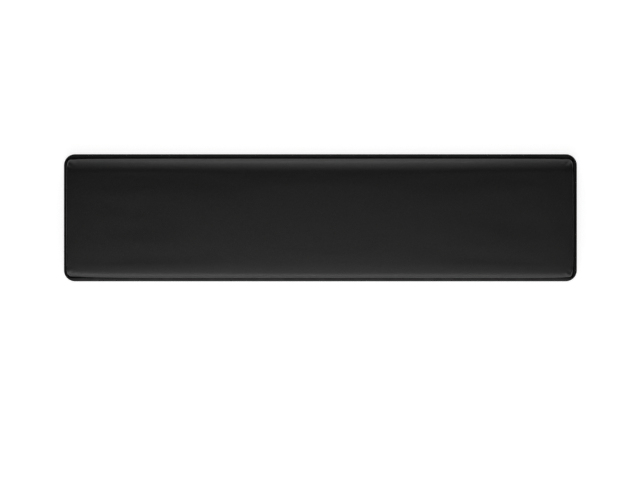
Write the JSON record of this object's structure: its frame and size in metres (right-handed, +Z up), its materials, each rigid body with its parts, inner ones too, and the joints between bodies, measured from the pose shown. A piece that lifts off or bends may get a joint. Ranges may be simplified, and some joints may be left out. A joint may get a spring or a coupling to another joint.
{
  "type": "keyboard wrist rest",
  "caption": "Long low keyboard wrist rest: a crowned leatherette pad over foam on a stiff board, screwed into a shallow rimmed plastic tray that stands on rubber feet.",
  "frame": {"origin": "on the desk, under the middle of the rest", "axes": "+X along the rest, to the typist's right; +Y away from the typist, to the keyboard; +Z up"},
  "size_m": [0.36, 0.0892, 0.02],
  "materials": {
    "leatherette": "satin, fine grain",
    "tray_plastic": "satin moulded",
    "board_plastic": "matt moulded",
    "foam": "open-cell foam",
    "film": "double-sided adhesive film",
    "screw_steel": "black zinc",
    "rubber": "matt"
  },
  "bodies": {
    "root": {"leatherette_cover": "leatherette", "foam_core": "foam", "foam_bonding_film": "film", "carrier_board": "board_plastic", "base_tray": "tray_plastic", "board_screw_1": "screw_steel", "board_screw_2": "screw_steel", "board_screw_3": "screw_steel", "board_screw_4": "screw_steel", "board_screw_5": "screw_steel", "board_screw_6": "screw_steel", "board_screw_7": "screw_steel", "board_screw_8": "screw_steel", "foot_front_left": "rubber", "foot_front_middle": "rubber", "foot_front_right": "rubber", "foot_rear_left": "rubber", "foot_rear_middle": "rubber", "foot_rear_right": "rubber"}
  },
  "joints": []
}
